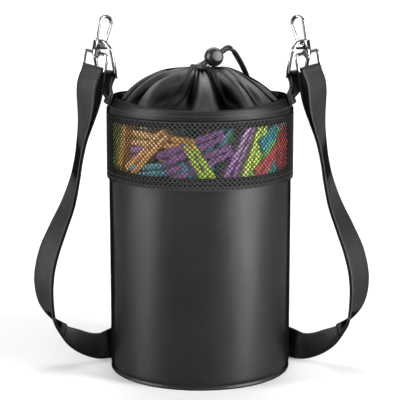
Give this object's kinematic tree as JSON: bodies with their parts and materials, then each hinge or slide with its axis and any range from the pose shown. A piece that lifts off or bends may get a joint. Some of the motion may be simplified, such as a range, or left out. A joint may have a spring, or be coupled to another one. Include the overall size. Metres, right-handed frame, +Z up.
{
  "type": "peg bag",
  "caption": "Standing drawstring bag for clothes pegs, with a netting window, a gathered cover with a cord lock, and a shoulder strap on swivel snap hooks.",
  "frame": {"origin": "middle of the base, on the floor", "axes": "+Z up, front of the bag towards -Y, +X to the right as seen from the front"},
  "size_m": [0.3028, 0.1717, 0.3125],
  "materials": {
    "oxford_cloth": "coated Oxford weave, dull sheen",
    "nylon_cloth": "thin plain nylon, soft sheen",
    "netting": "knitted polyester net, matt",
    "foam": "soft foam sheet",
    "board": "stiff sheet, matt",
    "peg_fill": "loose heap, matt",
    "spring_steel": "plain drawn wire",
    "drawcord": "braided polyester, matt",
    "lock_plastic": "moulded, fine texture",
    "button_plastic": "moulded grey, fine texture",
    "webbing": "woven polypropylene, slight sheen",
    "chrome_metal": "bright plated",
    "peg_lime": "moulded, satin",
    "peg_green": "moulded, satin",
    "peg_orange": "moulded, satin",
    "peg_purple": "moulded, satin",
    "peg_teal": "moulded, satin",
    "peg_blue": "moulded, satin",
    "peg_red": "moulded, satin"
  },
  "bodies": {
    "bag": {"base_panel": "oxford_cloth", "wall_shell": "oxford_cloth", "wall_seam_tape": "oxford_cloth", "rim_band": "oxford_cloth", "gathered_cover": "nylon_cloth", "wall_lining": "nylon_cloth", "mesh_band": "netting", "wall_foam": "foam", "base_board": "board", "peg_fill": "peg_fill", "rim_hoop": "spring_steel", "drawcord_loop": "drawcord", "drawcord_tail_front": "drawcord", "drawcord_tail_back": "drawcord", "drawcord_knot": "drawcord", "shoulder_strap": "webbing", "strap_return_left": "webbing", "strap_return_right": "webbing", "side_tab_left": "webbing", "side_tab_right": "webbing", "swivel_eye_left": "chrome_metal", "swivel_eye_right": "chrome_metal", "peg_01": "peg_orange", "peg_02": "peg_orange", "peg_03": "peg_purple", "peg_04": "peg_purple", "peg_05": "peg_lime", "peg_06": "peg_red", "peg_07": "peg_teal", "peg_08": "peg_blue", "peg_09": "peg_green", "peg_10": "peg_lime", "peg_11": "peg_orange", "peg_12": "peg_lime", "peg_13": "peg_green", "peg_14": "peg_blue", "peg_15": "peg_red", "peg_16": "peg_orange", "peg_17": "peg_purple", "peg_18": "peg_teal", "peg_19": "peg_red", "peg_20": "peg_lime"},
    "hook_left": {"hook_body_left": "chrome_metal", "gate_pin_left": "spring_steel", "gate_spring_left": "spring_steel"},
    "hook_right": {"hook_body_right": "chrome_metal", "gate_pin_right": "spring_steel", "gate_spring_right": "spring_steel"},
    "gate_left": {"hook_gate_left": "chrome_metal"},
    "gate_right": {"hook_gate_right": "chrome_metal"},
    "ring_left": {"d_ring_left": "chrome_metal"},
    "ring_right": {"d_ring_right": "chrome_metal"},
    "lock": {"cord_lock_body": "lock_plastic", "cord_lock_spring": "spring_steel"},
    "lock_button": {"cord_lock_button": "button_plastic"},
    "slider": {"strap_slider": "lock_plastic"}
  },
  "joints": [
    {"name": "hook_swivel_left", "type": "hinge", "parent": "bag", "child": "hook_left", "pos_m": [-0.0894, -0.005, 0.2803], "axis": [0.165, 0, 0.9863], "range_deg": [-7, 7]},
    {"name": "gate_open_left", "type": "hinge", "parent": "hook_left", "child": "gate_left", "pos_m": [-0.08301, 0.00005, 0.28572], "axis": [0.6726, -0.7313, -0.1126], "range_deg": [0, 22], "stiffness_Nm_per_rad": 0.05, "springref_deg": -8.59, "deforming": ["gate_spring_left"]},
    {"name": "ring_swing_left", "type": "hinge", "parent": "bag", "child": "ring_left", "pos_m": [-0.08114, 0.00116, 0.26116], "axis": [0.682, -0.7314, 0], "range_deg": [-1, 1.5]},
    {"name": "hook_swivel_right", "type": "hinge", "parent": "bag", "child": "hook_right", "pos_m": [0.0922, -0.005, 0.2803], "axis": [-0.165, 0, 0.9863], "range_deg": [-7, 7]},
    {"name": "gate_open_right", "type": "hinge", "parent": "hook_right", "child": "gate_right", "pos_m": [0.08581, 0.00005, 0.28572], "axis": [0.6726, 0.7313, 0.1126], "range_deg": [0, 22], "stiffness_Nm_per_rad": 0.05, "springref_deg": -8.59, "deforming": ["gate_spring_right"]},
    {"name": "ring_swing_right", "type": "hinge", "parent": "bag", "child": "ring_right", "pos_m": [0.08394, 0.00116, 0.26116], "axis": [0.682, 0.7314, 0], "range_deg": [-1, 1.5]},
    {"name": "lock_slide", "type": "slide", "parent": "bag", "child": "lock", "axis": [0.7658, 0.447, 0.4623], "range_m": [0, 0.006], "deforming": ["drawcord_tail_front", "drawcord_tail_back"]},
    {"name": "lock_button_press", "type": "slide", "parent": "lock", "child": "lock_button", "axis": [-0.4162, 0.8925, -0.1736], "range_m": [0, 0.002], "stiffness_N_per_m": 800, "springref_m": -0.001, "deforming": ["cord_lock_spring"]},
    {"name": "slider_shift", "type": "slide", "parent": "bag", "child": "slider", "axis": [1, 0, 0], "range_m": [-0.012, 0.012]}
  ]
}
